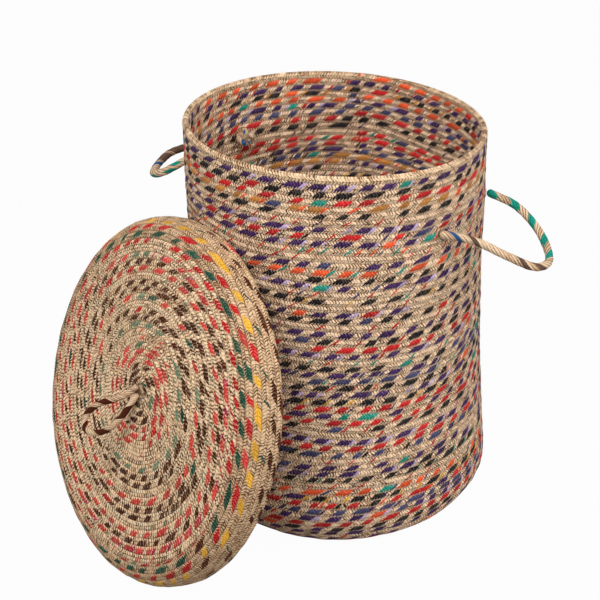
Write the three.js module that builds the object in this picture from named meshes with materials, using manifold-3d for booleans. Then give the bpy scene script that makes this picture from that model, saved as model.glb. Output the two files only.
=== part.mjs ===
// A round laundry basket of coiled jute rope, sewn row to row, with two rope hand loops on its wall.
// Its shallow lid stands on the floor and leans on the wall, and has a small cord loop at its hub.
// Millimetres, +Z up, the basket stands on z = 0 about the Z axis, and its front is at -Y.
import * as THREE from "three";
import { mergeVertices } from "three/addons/utils/BufferGeometryUtils.js";
import Module from "manifold-3d";

// Rope, as it lies in the sewn rows
const rowPitch = 9; // width of one sewn row
const wallThickness = 7;
const grooveDepth = 1.5; // how far the seam between two rows sits below their crests
const seamGap = 0.3; // between two rope lengths that lie against each other
const rowsPerInnerPoint = 6; // the inner face is drawn plainer than the outer one

// Basket
const wallHeight = 511;
const rimRadius = 185;
const flare = 14; // how much wider the foot is than the rim
const flareTop = 320; // the height at which the wall starts to widen
const flarePower = 1.8;
const cornerRadius = 56; // round edge between wall and base
const rimRows = 1; // rows of plain rope at the mouth
const rimRounding = 2.5; // how far the last row's sides lie below its top
const wallLengths = 4; // rope lengths between the round edge and the rim
const rimDrop = 9; // the mouth dips this much at +X and rises as much at -X
const basketSides = 28;
const facetSag = rimRadius * (1 - Math.cos(Math.PI / basketSides)); // a flat side lies this far in

// Hand loops: a route is x along the line between the two holes and y away from it, in the loop's own
// plane, as shares of the span. Its curl lifts it out of that plane by the square of y.
const rightLoopSpan = 141; // between its two holes
const rightLoopBelow = 83; // from the mouth down to them
const leftLoopSpan = 113;
const leftLoopBelow = 74;
const handleRadius = 5;
const holeClearance = 0.5;
const swingClearance = 1.5; // between the wall and the rope's round end, so that the loop can swing
const handleSteps = 18;
const cordSides = 8;
const handleLoops = [
  {
    side: "right",
    azimuth: -29.7,
    below: rightLoopBelow,
    span: rightLoopSpan,
    droop: 23,
    curl: 0,
    route: [
      [-0.555, 0.220],
      [-0.466, 0.442],
      [-0.274, 0.654],
      [-0.040, 0.785],
      [0.150, 0.735],
      [0.246, 0.502],
      [0.320, 0.225],
    ],
  },
  {
    side: "left",
    azimuth: 150,
    below: leftLoopBelow,
    span: leftLoopSpan,
    droop: 36,
    curl: 0.38,
    route: [
      [-0.469, 0.443],
      [-0.329, 0.709],
      [-0.097, 0.782],
      [0.181, 0.717],
      [0.450, 0.591],
      [0.640, 0.430],
      [0.670, 0.230],
    ],
  },
];

// Knots inside the wall and under the lid
const knotRadius = 13;
const knotLength = 19;
const tailRadius = 3.5;
const tailLength = 9;
const knotSides = 8;
const knotSwell = [
  [0.93, 0.3],
  [0.8, 0.72],
  [0.5, 1],
]; // share of the length, share of the radius
const knotNeck = 0.2; // share of the length over which it narrows to its shoulder
const wallKnotShoulder = 6;

// Lid
const lidRadius = 223;
const lidDepth = 43;
const lidCornerRadius = 27;
const lidEdgeRows = 1; // the last row, at the open edge, is a rope length of its own
const lidLean = 19.7; // degrees from upright
const lidAzimuth = 54.2; // degrees from the front towards -X
const leanGap = 0.3; // between the lid's edge and the wall
const lidSides = 48;
const hubReach = 5; // from the hub to the first turn's inner edge
const hubRise = 13; // the coil's middle lies this far above the lid's own
const hubShift = -4;
const centreTurns = 9; // turns in the rope length at the middle
const turnGap = 0.6; // between neighbouring turns
const turnSteps = 24;
const lastTurnWidth = 3; // the last turn narrows to this before it ends against the skirt
const lidLoopRadius = 4;
const lidLoopSpan = 10; // between the cord's two ends at the hub
const lidLoopTurn = -62; // degrees, the direction of the line between them in the lid's plane
const lidLoopDroop = 38; // degrees that the loop hangs towards the lid's lower edge
const lidLoopClearance = 1.5;
const lidLoopSteps = 18;
const lidLoopReach = 80; // the size that its route is given in
const lidLoopRoute = [
  [0.047, 0.171],
  [0.092, 0.346],
  [0.134, 0.523],
  [0.225, 0.681],
  [0.378, 0.777],
  [0.526, 0.746],
  [0.570, 0.560],
  [0.425, 0.286],
]; // as shares of its reach
const lidKnotLength = 15;
const lidKnotShoulder = 11; // wide enough to bear on the first turn
const lidKnotBite = 2; // how far the cord ends run into their knot

const wasm = await Module();
wasm.setup();

const degrees = THREE.MathUtils.degToRad;
const basket = new THREE.Group();
const lid = new THREE.Group();

// Colours: plain jute, the same rope with rag strips of several colours, and the darker loop cords
const finishes = {
  plainJute: { color: 0xc9ad85, roughness: 0.95, metalness: 0 },
  brightRagJute: { color: 0xa98c78, roughness: 0.95, metalness: 0 },
  darkRagJute: { color: 0x9a7f6c, roughness: 0.95, metalness: 0 },
  brownRagJute: { color: 0xa5876a, roughness: 0.95, metalness: 0 },
  greenRagJute: { color: 0x8f9474, roughness: 0.95, metalness: 0 },
  handleJute: { color: 0xb59c78, roughness: 0.9, metalness: 0 },
};

function addMesh(parent, name, geometry, finish) {
  geometry.computeVertexNormals();
  const mesh = new THREE.Mesh(
    geometry,
    new THREE.MeshStandardMaterial({ ...finishes[finish], flatShading: true }),
  );
  mesh.name = name;
  parent.add(mesh);
  return mesh;
}

// Booleans
function toSolid(geometry) {
  const bare = geometry.clone();
  bare.deleteAttribute("normal");
  bare.deleteAttribute("uv");
  const merged = mergeVertices(bare, 1e-4);
  return new wasm.Manifold(
    new wasm.Mesh({
      numProp: 3,
      vertProperties: new Float32Array(merged.attributes.position.array),
      triVerts: new Uint32Array(merged.index.array),
    }),
  );
}

function toGeometry(solid) {
  const made = solid.getMesh();
  const geometry = new THREE.BufferGeometry();
  geometry.setAttribute(
    "position",
    new THREE.BufferAttribute(new Float32Array(made.vertProperties), 3),
  );
  geometry.setIndex(new THREE.BufferAttribute(new Uint32Array(made.triVerts), 1));
  return geometry.toNonIndexed();
}

const flatEnd = [
  [grooveDepth, -seamGap / 2],
  [wallThickness, -seamGap / 2],
];
const roundEnd = [
  [grooveDepth, -rimRounding],
  [wallThickness / 2, 0],
  [wallThickness - grooveDepth, -rimRounding],
];

// The rows of a shell that starts flat, turns a round edge and runs on straight.
// A place on it is a radius and a height above the flat side, with the way out of the shell.
function shellPlace(length, radiusAt, edgeRadius) {
  const quarter = (edgeRadius * Math.PI) / 2;
  const foot = radiusAt(edgeRadius);
  if (length < quarter) {
    const turn = length / edgeRadius;
    return {
      radius: foot - edgeRadius + edgeRadius * Math.sin(turn),
      height: edgeRadius - edgeRadius * Math.cos(turn),
      out: [Math.sin(turn), -Math.cos(turn)],
    };
  }
  const height = edgeRadius + length - quarter;
  return { radius: radiusAt(height), height, out: [1, 0] };
}

// The closed outline of a run of rows: crests and seams outside, a plainer line inside.
// Its end is a list of depths below the crests, each with a shift along the shell.
function rowsOutline(shell, first, last, end = flatEnd) {
  const at = (row, depth, shift) => {
    const place = shellPlace(
      shell.lengthAt(row) + shift,
      shell.radiusAt,
      shell.edgeRadius,
    );
    return new THREE.Vector2(
      place.radius - place.out[0] * depth,
      place.height - place.out[1] * depth,
    );
  };
  const start = seamGap / 2;
  const points = [at(first, grooveDepth, start)];
  for (let row = first; row < last; row++) {
    points.push(at(row + 0.5, 0, 0));
    if (row + 1 < last) points.push(at(row + 1, grooveDepth, 0));
  }
  for (const [depth, shift] of end) points.push(at(last, depth, shift));
  for (let row = last - rowsPerInnerPoint; row > first; row -= rowsPerInnerPoint)
    points.push(at(row, wallThickness, 0));
  points.push(at(first, wallThickness, start));
  points.push(points[0].clone());
  return points;
}

// A turned solid about Z from an outline of radius and height.
function turned(outline, sides) {
  return new THREE.LatheGeometry(outline, sides).rotateX(Math.PI / 2);
}

// Basket
function bodyRadius(height) {
  const share = (flareTop - height) / (flareTop - cornerRadius);
  return rimRadius + flare * Math.pow(Math.max(0, share), flarePower);
}

const cornerLength = (cornerRadius * Math.PI) / 2;
const cornerRows = Math.round(cornerLength / rowPitch);
const standingRows = Math.round((wallHeight - cornerRadius) / rowPitch);
const bodyShell = {
  radiusAt: bodyRadius,
  edgeRadius: cornerRadius,
  lengthAt: (row) =>
    row <= cornerRows
      ? (row * cornerLength) / cornerRows
      : cornerLength +
        ((row - cornerRows) * (wallHeight - cornerRadius)) / standingRows,
};

// The height of a place on the wall once the mouth has dipped to one side.
function settledHeight(x, height) {
  return height - ((rimDrop * x) / rimRadius) * (height / wallHeight);
}

function settle(geometry) {
  const at = geometry.attributes.position;
  for (let i = 0; i < at.count; i++)
    at.setZ(i, settledHeight(at.getX(i), at.getZ(i)));
  return geometry;
}

function ropeLength(first, last, end) {
  return settle(turned(rowsOutline(bodyShell, first, last, end), basketSides));
}

function baseDisc() {
  const radius = bodyRadius(cornerRadius) - cornerRadius - seamGap;
  const outline = [
    new THREE.Vector2(0, 0),
    new THREE.Vector2(radius, 0),
    new THREE.Vector2(radius, wallThickness),
    new THREE.Vector2(0, wallThickness),
  ];
  return settle(turned(outline, basketSides));
}

// Hand loops
function radial(azimuth) {
  const angle = degrees(azimuth);
  return new THREE.Vector3(Math.cos(angle), Math.sin(angle), 0);
}

const pivotReach = handleRadius + swingClearance;

// The two holes of a loop, the back one first, and the places where its rope ends swing, just outside them.
function loopEnds(spec) {
  const height = wallHeight - spec.below;
  const reach = bodyRadius(height) + pivotReach;
  const half = THREE.MathUtils.radToDeg(Math.asin(spec.span / 2 / reach));
  const ends = [spec.azimuth + half, spec.azimuth - half].map((azimuth) => {
    const out = radial(azimuth);
    const wall = out.clone().multiplyScalar(bodyRadius(height));
    wall.z = settledHeight(wall.x, height);
    return { out, wall, pivot: wall.clone().addScaledVector(out, pivotReach) };
  });
  return ends.sort((a, b) => b.wall.y - a.wall.y);
}

// A rope along a smooth line through points.
function ropeAlong(points, radius, sides, steps) {
  const section = new THREE.Shape();
  for (let i = 0; i < sides; i++) {
    const angle = (2 * Math.PI * i) / sides;
    const x = radius * Math.cos(angle);
    const y = radius * Math.sin(angle);
    if (i === 0) section.moveTo(x, y);
    else section.lineTo(x, y);
  }
  section.closePath();
  const path = new THREE.CatmullRomCurve3(points, false, "centripetal");
  return new THREE.ExtrudeGeometry(section, { steps, extrudePath: path });
}

function roundEnded(geometry, ends, radius) {
  let solid = toSolid(geometry);
  for (const end of ends) {
    const ball = new THREE.SphereGeometry(radius, cordSides, cordSides - 2);
    ball.translate(end.x, end.y, end.z);
    solid = solid.add(toSolid(ball));
  }
  return toGeometry(solid);
}

// A loop from one pivot to the other: its own plane holds the line between them and leans down by the droop.
function swingingLoop(from, to, outward, down, spec) {
  const along = to.clone().sub(from).normalize();
  const away = outward.clone().addScaledVector(along, -outward.dot(along));
  away.normalize();
  const fall = down.clone().addScaledVector(along, -down.dot(along));
  fall.addScaledVector(away, -fall.dot(away)).normalize();
  const plane = away
    .multiplyScalar(Math.cos(degrees(spec.droop)))
    .addScaledVector(fall, Math.sin(degrees(spec.droop)));
  const middle = from.clone().add(to).multiplyScalar(0.5);
  const points = spec.route.map(([x, y]) =>
    middle
      .clone()
      .addScaledVector(along, x * spec.size)
      .addScaledVector(plane, y * spec.size)
      .addScaledVector(fall, -spec.curl * y * y * spec.size),
  );
  const rope = ropeAlong(
    [from, ...points, to],
    spec.radius,
    cordSides,
    spec.steps,
  );
  return roundEnded(rope, [from, to], spec.radius);
}

// A knot with its tail on one side and, on the other, the rope that runs out through the shell.
// Its height axis is the way out, and zero is the shell's inner face.
function knotOutline(length, shoulder, seat) {
  const outline = [new THREE.Vector2(0, -length - tailLength)];
  outline.push(new THREE.Vector2(tailRadius, -length - tailLength));
  for (const [share, width] of knotSwell)
    outline.push(new THREE.Vector2(knotRadius * width, -length * share));
  outline.push(new THREE.Vector2((knotRadius + shoulder) / 2, -length * knotNeck));
  outline.push(new THREE.Vector2(shoulder, -seat));
  return outline;
}

function wallKnot(outerEnd) {
  const seat = seamGap + facetSag;
  const outline = knotOutline(knotLength, wallKnotShoulder, seat);
  outline.push(new THREE.Vector2(handleRadius, -seat));
  outline.push(new THREE.Vector2(handleRadius, outerEnd));
  outline.push(new THREE.Vector2(0, outerEnd));
  return new THREE.LatheGeometry(outline, knotSides);
}

function placeAlong(geometry, place, way) {
  const turn = new THREE.Quaternion().setFromUnitVectors(
    new THREE.Vector3(0, 1, 0),
    way,
  );
  return geometry.applyQuaternion(turn).translate(place.x, place.y, place.z);
}

function holeCutter(end) {
  const length = 4 * wallThickness;
  const cutter = new THREE.CylinderGeometry(
    handleRadius + holeClearance,
    handleRadius + holeClearance,
    length,
    knotSides,
  );
  return placeAlong(cutter, end.wall, end.out);
}

// Whether a hole at a height may cut a rope length.
function meets(geometry, height) {
  geometry.computeBoundingBox();
  const { min, max } = geometry.boundingBox;
  return height > min.z - rowPitch && height < max.z + rowPitch;
}

function buildBasket() {
  addMesh(basket, "base_coil", baseDisc(), "darkRagJute");
  addMesh(basket, "heel_coil", ropeLength(0, cornerRows), "darkRagJute");

  const ends = handleLoops.map((spec) => loopEnds(spec));
  const bandRows = standingRows - rimRows;
  for (let i = 0; i < wallLengths; i++) {
    const first = cornerRows + Math.round((bandRows * i) / wallLengths);
    const last = cornerRows + Math.round((bandRows * (i + 1)) / wallLengths);
    let band = ropeLength(first, last);
    const holes = ends.flat().filter((end) => meets(band, end.wall.z));
    if (holes.length > 0) {
      let solid = toSolid(band);
      for (const end of holes) solid = solid.subtract(toSolid(holeCutter(end)));
      band = toGeometry(solid);
    }
    addMesh(basket, `wall_coil_${i + 1}`, band, i % 2 ? "brightRagJute" : "darkRagJute");
  }
  const rimFirst = cornerRows + bandRows;
  const rim = ropeLength(rimFirst, rimFirst + rimRows, roundEnd);
  addMesh(basket, "rim_coil", rim, "plainJute");

  handleLoops.forEach((spec, i) => {
    const [back, front] = ends[i];
    const rope = swingingLoop(
      back.pivot,
      front.pivot,
      radial(spec.azimuth),
      new THREE.Vector3(0, 0, -1),
      { ...spec, size: spec.span, radius: handleRadius, steps: handleSteps },
    );
    addMesh(basket, `handle_${spec.side}`, rope, "handleJute");
    [back, front].forEach((end, k) => {
      const inner = end.wall.clone().addScaledVector(end.out, -wallThickness);
      const stubEnd = wallThickness + swingClearance - seamGap;
      const shape = placeAlong(wallKnot(stubEnd), inner, end.out);
      const which = k ? "front" : "back";
      addMesh(basket, `handle_${spec.side}_knot_${which}`, shape, "handleJute");
    });
  });
}

// Lid, in its own frame: +Z out of its top, the open edge at z = 0, +Y towards its upper edge as it leans
const lidFlat = lidRadius - lidCornerRadius;
const lidSkirtRows = Math.round(
  ((lidCornerRadius * Math.PI) / 2 + lidDepth - lidCornerRadius) / rowPitch,
);
const lidShell = {
  radiusAt: () => lidRadius,
  edgeRadius: lidCornerRadius,
  lengthAt: (row) =>
    (row * ((lidCornerRadius * Math.PI) / 2 + lidDepth - lidCornerRadius)) /
    lidSkirtRows,
};

function lidRows(first, last) {
  const outline = rowsOutline(lidShell, first, last);
  for (const point of outline) point.y = lidDepth - point.y;
  return turned(outline.reverse(), lidSides);
}

// The inner and outer edge of the coil at a turn count: the coil's middle lies off the lid's own,
// so its turns are a little wider below than above, and the last turn narrows to end against the skirt.
const coilTurns = (lidFlat - hubReach) / rowPitch;

function coilEdge(turns, angle, inset) {
  const radius = hubReach + rowPitch * turns;
  const share = Math.max(0, 1 - radius / lidFlat);
  const edge = new THREE.Vector2(Math.cos(angle), Math.sin(angle)).multiplyScalar(
    Math.min(radius, lidFlat),
  );
  edge.x += hubShift * share;
  edge.y += hubRise * share;
  return edge.multiplyScalar(1 - inset / Math.max(edge.length(), rowPitch));
}

function coilRing(turns) {
  const angle = 2 * Math.PI * turns;
  const inner = coilEdge(turns, angle, -turnGap / 2);
  const outer = coilEdge(Math.min(turns + 1, coilTurns), angle, turnGap / 2);
  const low = lidDepth - wallThickness;
  const high = lidDepth;
  const middle = (low + high) / 2;
  const at = (share, z) => [
    inner.x + (outer.x - inner.x) * share,
    inner.y + (outer.y - inner.y) * share,
    z,
  ];
  return [
    at(0, middle),
    at(0.26, low),
    at(0.74, low),
    at(1, middle),
    at(0.74, high),
    at(0.26, high),
  ];
}

function coil(firstTurn, lastTurn) {
  const steps = Math.round((lastTurn - firstTurn) * turnSteps);
  const rings = [];
  for (let i = 0; i <= steps; i++)
    rings.push(coilRing(firstTurn + ((lastTurn - firstTurn) * i) / steps));
  const sides = rings[0].length;
  const index = [];
  for (let i = 0; i < steps; i++)
    for (let k = 0; k < sides; k++) {
      const a = i * sides + k;
      const b = i * sides + ((k + 1) % sides);
      index.push(a, b + sides, b, a, a + sides, b + sides);
    }
  const last = steps * sides;
  for (let k = 1; k < sides - 1; k++) {
    index.push(0, k, k + 1);
    index.push(last, last + k + 1, last + k);
  }
  const geometry = new THREE.BufferGeometry();
  geometry.setAttribute(
    "position",
    new THREE.Float32BufferAttribute(rings.flat(2), 3),
  );
  geometry.setIndex(index);
  return { geometry: geometry.toNonIndexed(), rings };
}

// The least gap between each ring's outer point and the next turn's inner point.
function leastTurnGap(rings) {
  let least = Infinity;
  for (let i = 0; i + turnSteps < rings.length; i++) {
    const outer = new THREE.Vector3(...rings[i][3]);
    const inner = new THREE.Vector3(...rings[i + turnSteps][0]);
    least = Math.min(least, outer.distanceTo(inner));
  }
  return least;
}

// The cord's two ends lie side by side in the hub hole, which is the first turn's inner edge.
function lidLoopEnds() {
  const turn = degrees(lidLoopTurn);
  const along = new THREE.Vector3(Math.cos(turn), Math.sin(turn), 0);
  const ahead = coilEdge((lidLoopTurn + 360) / 360, turn, 0);
  const behind = coilEdge((lidLoopTurn + 180) / 360, turn + Math.PI, 0);
  const middle = ahead.add(behind).multiplyScalar(0.5);
  return [-0.5, 0.5].map((side) =>
    new THREE.Vector3(middle.x, middle.y, 0).addScaledVector(along, side * lidLoopSpan),
  );
}

function lidLoop(ends) {
  const lift = lidDepth + lidLoopRadius + lidLoopClearance;
  const pivots = ends.map((end) => end.clone().setZ(lift));
  return swingingLoop(
    ...pivots,
    new THREE.Vector3(0, 0, 1),
    new THREE.Vector3(0, -1, 0),
    {
      droop: lidLoopDroop,
      curl: 0,
      route: lidLoopRoute,
      size: lidLoopReach,
      radius: lidLoopRadius,
      steps: lidLoopSteps,
    },
  );
}

// One knot under the hub holds both ends of the cord.
function lidKnot(ends) {
  const innerFace = lidDepth - wallThickness;
  const outline = knotOutline(lidKnotLength, lidKnotShoulder, seamGap);
  outline.push(new THREE.Vector2(0, -seamGap));
  const middle = ends[0].clone().add(ends[1]).multiplyScalar(0.5).setZ(innerFace);
  const up = new THREE.Vector3(0, 0, 1);
  let solid = toSolid(
    placeAlong(new THREE.LatheGeometry(outline, knotSides), middle, up),
  );
  const low = innerFace - seamGap - lidKnotBite;
  const high = lidDepth + lidLoopClearance - seamGap;
  for (const end of ends) {
    const stub = new THREE.CylinderGeometry(
      lidLoopRadius,
      lidLoopRadius,
      high - low,
      knotSides,
    );
    solid = solid.add(
      toSolid(placeAlong(stub, end.clone().setZ((high + low) / 2), up)),
    );
  }
  return toGeometry(solid);
}

function buildLid() {
  const last = lidSkirtRows - lidEdgeRows;
  const endGap = seamGap / (2 * Math.PI * (hubReach + rowPitch * centreTurns));
  const centre = coil(0, centreTurns - endGap);
  const outer = coil(centreTurns, coilTurns - lastTurnWidth / rowPitch);
  console.log(
    "least gap between turns:",
    Math.min(leastTurnGap(centre.rings), leastTurnGap(outer.rings)).toFixed(2),
    "mm",
  );
  addMesh(lid, "lid_centre_coil", centre.geometry, "brownRagJute");
  addMesh(lid, "lid_outer_coil", outer.geometry, "greenRagJute");
  addMesh(lid, "lid_skirt_coil", lidRows(0, last), "greenRagJute");
  addMesh(lid, "lid_edge_rope", lidRows(last, lidSkirtRows), "plainJute");

  const ends = lidLoopEnds();
  addMesh(lid, "lid_loop", lidLoop(ends), "handleJute");
  addMesh(lid, "lid_loop_knot", lidKnot(ends), "handleJute");
}

buildBasket();
buildLid();

// The wall's reach at a height above the floor and an azimuth, between its crests and seams.
function wallReach(azimuth, z) {
  const x = bodyRadius(z) * Math.cos(degrees(azimuth));
  const height = z / (1 - (rimDrop * x) / rimRadius / wallHeight);
  const rows = ((height - cornerRadius) * standingRows) / (wallHeight - cornerRadius);
  const share = rows - Math.floor(rows);
  return bodyRadius(height) - grooveDepth * Math.abs(1 - 2 * share);
}

// The lid stands on its open edge and its upper edge touches the wall.
const lean = degrees(lidLean);
const facing = -90 - lidAzimuth;
const out = radial(facing);
const skyward = new THREE.Vector3(0, 0, 1);
const normal = out
  .clone()
  .multiplyScalar(Math.cos(lean))
  .addScaledVector(skyward, Math.sin(lean));
const upward = out
  .clone()
  .multiplyScalar(-Math.sin(lean))
  .addScaledVector(skyward, Math.cos(lean));
const across = new THREE.Vector3().crossVectors(upward, normal);
const edgeRadius = lidRadius - grooveDepth;
const touch = wallReach(facing, 2 * edgeRadius * Math.cos(lean)) + leanGap;
const centre = out
  .clone()
  .multiplyScalar(touch + 2 * edgeRadius * Math.sin(lean))
  .addScaledVector(upward, edgeRadius);
lid.applyMatrix4(
  new THREE.Matrix4().makeBasis(across, upward, normal).setPosition(centre),
);

const model = new THREE.Group();
model.add(basket, lid);
export default model;
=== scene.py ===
"""A round laundry basket of coiled jute rope with rag strips, its leaning lid and its rope loops.

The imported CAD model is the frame. Every rope length of the basket and of the lid is built here as
one wound rope: its section is swept along the winding, and each point of it carries where it lies
on the rope, so that the jute fibres, the slanted rag strips and the zigzag sewing follow the rope.
"""

import logging
import math
from collections.abc import Callable, Sequence
from dataclasses import dataclass, field
from enum import Enum

import bpy
import numpy as np
from mathutils import Matrix, Vector


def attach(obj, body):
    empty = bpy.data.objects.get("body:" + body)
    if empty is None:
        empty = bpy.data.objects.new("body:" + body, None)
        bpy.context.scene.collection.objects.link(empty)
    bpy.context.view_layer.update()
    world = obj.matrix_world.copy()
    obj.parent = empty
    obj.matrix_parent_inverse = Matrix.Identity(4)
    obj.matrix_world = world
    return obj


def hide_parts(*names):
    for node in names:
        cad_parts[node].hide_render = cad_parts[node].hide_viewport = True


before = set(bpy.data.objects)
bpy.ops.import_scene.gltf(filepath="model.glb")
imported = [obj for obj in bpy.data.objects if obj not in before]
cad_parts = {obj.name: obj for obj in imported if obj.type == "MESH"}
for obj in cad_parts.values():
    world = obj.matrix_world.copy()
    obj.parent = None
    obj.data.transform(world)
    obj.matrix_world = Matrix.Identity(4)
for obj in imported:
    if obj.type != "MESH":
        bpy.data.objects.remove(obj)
log = logging.getLogger("basket")

Numbers = np.ndarray | float

MM = 0.001
TURN = 2 * math.pi

THICKNESS = 7.0
"""Thickness of a sewn row in mm."""

MIDDLE = THICKNESS / 2
"""Depth of a row's middle below its crest in mm."""

ROW = 9.0
"""Width of a row in mm, where the rope lies flat."""

OVERLAP = 1.02
"""How much wider a row is made, so that it presses into its neighbours."""

CLEARANCE = 1.5
"""How far a loop's rope stands off the wall or hub at its ends, in mm."""

WANDER = ((331.0, 0.24), (181.0, 0.13), (97.0, 0.07))
"""How unevenly a rope is twisted: waves by their length in mm and their size in lays."""

SECTION = np.array(
    [
        (-0.50, 1.2, 0.02),
        (-0.36, 0.35, 0.11),
        (-0.12, 0.00, 0.20),
        (0.12, 0.00, 0.29),
        (0.36, 0.35, 0.38),
        (0.50, 1.2, 0.46),
        (0.50, 3.5, 0.52),
        (0.50, 5.9, 0.58),
        (0.32, 6.75, 0.68),
        (0.00, 7.0, 0.78),
        (-0.32, 6.75, 0.88),
        (-0.50, 5.9, 0.96),
    ]
)
"""One row's section: share across the row, depth below its crest in mm, share of a turn of the twist."""

ROUNDING = np.array([0, 0, 0, 0.05, 0.12, 0.16, 0, 0.16, 0.1, 0, 0, 0])
"""How far each point of the section draws in where the last row has a rounded top."""


class Rag(Enum):
    """The cloth strips that are twisted into the ropes, by the colour they show."""

    NONE = "c9a37c"
    BLACK = "151318"
    PURPLE = "371e4d"
    LILAC = "b49fc2"
    RED = "b81c22"
    ORANGE = "d9502a"
    TEAL = "178271"
    SLATE = "3a3c5e"
    OCHRE = "b9793a"
    YELLOW = "d8a030"
    BROWN = "421b0b"
    CORAL = "c43d38"
    MAGENTA = "a81f4c"
    GREEN = "174536"
    MOSS = "66785e"
    BARK = "5f473b"
    BLUE = "2b4d78"


RAG_LETTERS = dict(zip(".KPLROTSCYBAMGN", Rag))
"""The letter of each rag in the codes of the rows, in the order of the list above."""


def linear(code: str) -> tuple[float, ...]:
    """Turns a colour as it is seen into the numbers that a shader works in.

    Args:
        code: Six hexadecimal digits.

    Returns:
        Red, green, blue and 1.
    """
    seen = [int(code[i : i + 2], 16) / 255 for i in (0, 2, 4)]
    return (*(c / 12.92 if c <= 0.04045 else ((c + 0.055) / 1.055) ** 2.4 for c in seen), 1.0)


def eased(share: np.ndarray) -> np.ndarray:
    """A smooth step from 0 to 1."""
    held = np.clip(share, 0, 1)
    return held * held * (3 - 2 * held)


def run_lengths(line: np.ndarray) -> np.ndarray:
    """The distance along a line at each of its points."""
    return np.concatenate([[0], np.cumsum(np.linalg.norm(np.diff(line, axis=0), axis=1))])


class Unevenness:
    """Smooth bumps and waves of handwork, the same in each run."""

    def __init__(self, seed: int, waves: int = 9, rounds: int = 7, rows: float = 0.45) -> None:
        """Draws the waves.

        Args:
            seed: Start of the random draws.
            waves: How many waves are added up.
            rounds: The most waves round a turn.
            rows: The fastest change from row to row, in radians.
        """
        draw = np.random.default_rng(seed)
        self.round = draw.integers(1, rounds + 1, waves)
        self.row = draw.uniform(-rows, rows, waves)
        self.start = draw.uniform(0, TURN, waves)
        self.size = draw.uniform(0.4, 1.0, waves) / math.sqrt(waves)

    def at(self, angle: np.ndarray, row: np.ndarray) -> np.ndarray:
        """The sum of the waves, mostly within -1 and 1.

        Args:
            angle: Direction round the axis.
            row: Place across the rows.

        Returns:
            One number for each place.
        """
        total = np.zeros(np.broadcast(angle, row).shape)
        for turns, rate, start, size in zip(self.round, self.row, self.start, self.size):
            total += size * np.sin(turns * angle + rate * row + start)
        return total


def lumps(along: np.ndarray, seed: int, spacing: float, size: float) -> np.ndarray:
    """Uneven thickness along a rope.

    Args:
        along: Distance along it in mm.
        seed: Start of the random draws.
        spacing: Distance between the drawn values in mm.
        size: Their spread.

    Returns:
        One offset for each distance.
    """
    draw = np.random.default_rng(seed)
    count = int((along.max() - along.min()) / spacing) + 3
    values = draw.normal(0, size, count)
    return np.interp(along, along.min() + spacing * np.arange(count), values)


@dataclass
class Strand:
    """A rag strand: the middles of its patches in lays of the twist, with their colours and widths."""

    centres: np.ndarray
    patches: np.ndarray

    def nearest(self, lays: np.ndarray) -> np.ndarray:
        """The number of the patch nearest to each place."""
        return np.searchsorted((self.centres[1:] + self.centres[:-1]) / 2, lays)

    def swell(self, lays: np.ndarray) -> np.ndarray:
        """How far the strand lifts the rope's face.

        Args:
            lays: Places along the twist.

        Returns:
            1 in the middle of a patch, 0 away from it.
        """
        index = self.nearest(lays)
        width = self.patches[index, 3]
        off = np.abs(lays - self.centres[index])
        return np.where(width > 0.02, eased(1.2 - off / np.maximum(width, 0.05)), 0.0)


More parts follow.
